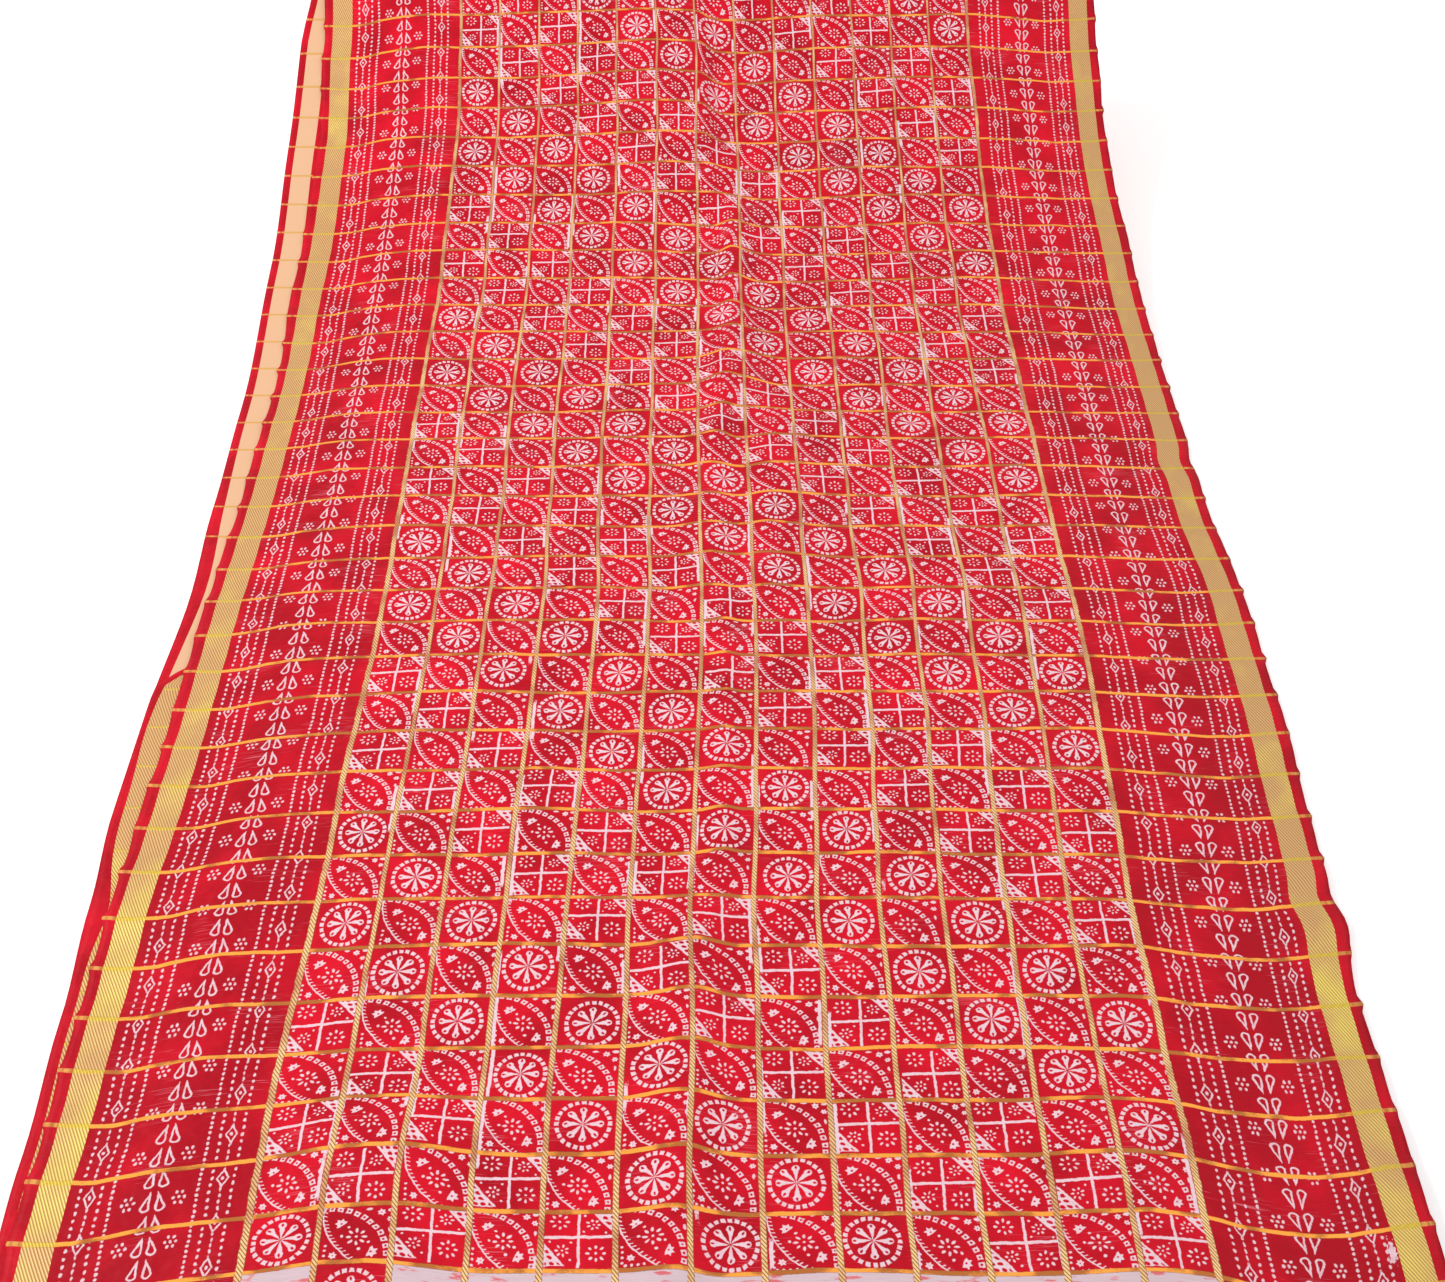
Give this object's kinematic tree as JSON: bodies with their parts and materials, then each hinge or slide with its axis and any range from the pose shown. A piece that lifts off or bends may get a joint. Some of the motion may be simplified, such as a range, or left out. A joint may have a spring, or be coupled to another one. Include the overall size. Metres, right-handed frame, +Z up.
{
  "type": "bandhani sari",
  "caption": "Red silk bandhani sari folded back on itself and laid out, with a grid of gold lines around tie-dyed motifs, patterned borders and gold bands along its edges.",
  "frame": {"origin": "middle of the cloth's footprint, on the surface that it lies on", "axes": "+X across the cloth to the viewer's right, +Y along its length away from the viewer to the end that sweeps up, +Z up"},
  "size_m": [1.182, 2.256, 0.2297],
  "materials": {
    "red_silk": "satin"
  },
  "bodies": {
    "root": {"sari": "red_silk"}
  },
  "joints": []
}
